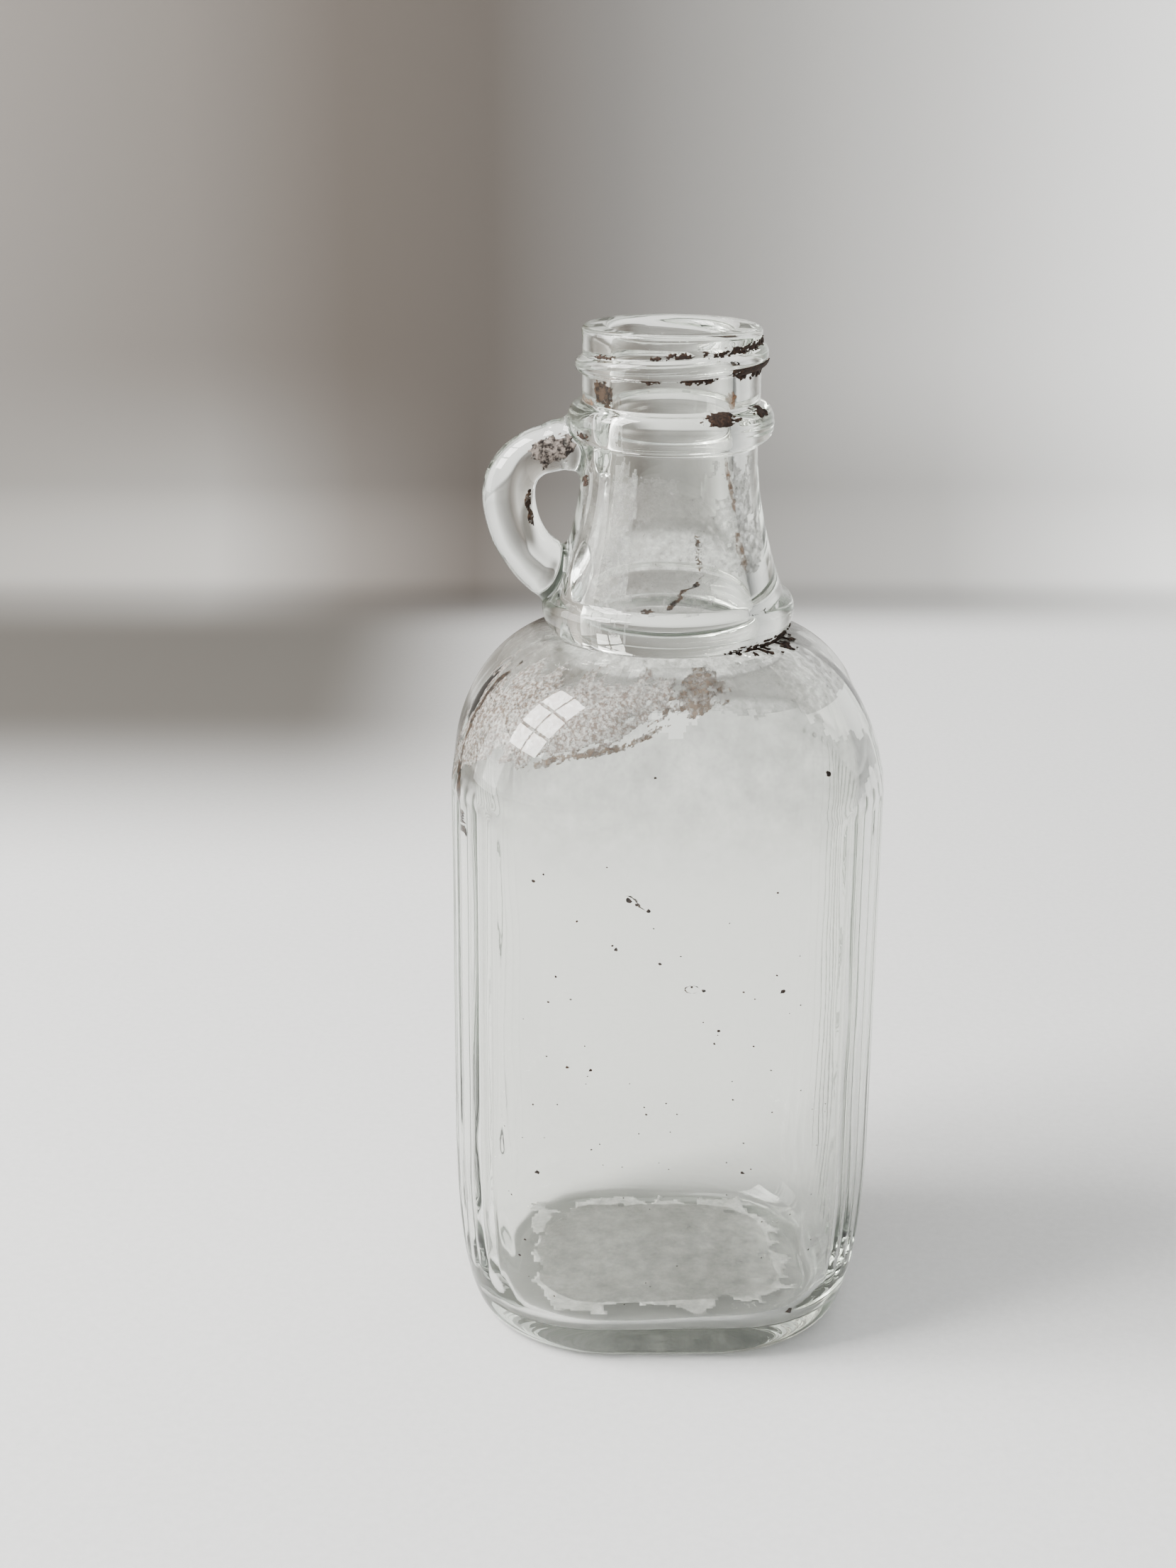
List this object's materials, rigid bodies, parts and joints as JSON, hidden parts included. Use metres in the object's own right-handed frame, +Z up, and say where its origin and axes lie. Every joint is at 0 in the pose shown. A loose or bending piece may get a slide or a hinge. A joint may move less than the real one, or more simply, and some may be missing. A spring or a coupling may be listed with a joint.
{
  "type": "glass bottle",
  "caption": "Clear moulded glass bottle with a rounded-square body, fluted sides, a finger-loop handle beside the neck and a threaded mouth, uncapped.",
  "frame": {"origin": "centre of the underside, on the surface that the bottle stands on", "axes": "+Z up along the bottle's axis; +X to the right with the finger handle on -X; plain front panel on -Y"},
  "size_m": [0.0632, 0.0568, 0.1516],
  "materials": {
    "clear_glass": "clear flint glass, glossy, faintly green where it is thick",
    "rust": "dark brown flaking rust, dull and rough",
    "dried_residue": "thin dried film, mottled cream to brown, matt"
  },
  "bodies": {
    "root": {"back_panel": "clear_glass", "base": "clear_glass", "finger_handle": "clear_glass", "finish_wall": "clear_glass", "front_panel": "clear_glass", "heel": "clear_glass", "neck": "clear_glass", "neck_collar": "clear_glass", "residue_in_shoulder": "dried_residue", "ribbed_side_left": "clear_glass", "ribbed_side_right": "clear_glass", "rust_fleck_front": "rust", "rust_on_bead_front": "rust", "rust_on_bead_right": "rust", "rust_on_handle": "rust", "rust_streak_in_neck": "rust", "rust_under_collar": "rust", "rust_under_thread": "rust", "screw_thread": "clear_glass", "sealing_lip": "clear_glass", "shoulder": "clear_glass", "stain_in_bore": "dried_residue", "transfer_bead": "clear_glass"}
  },
  "joints": []
}
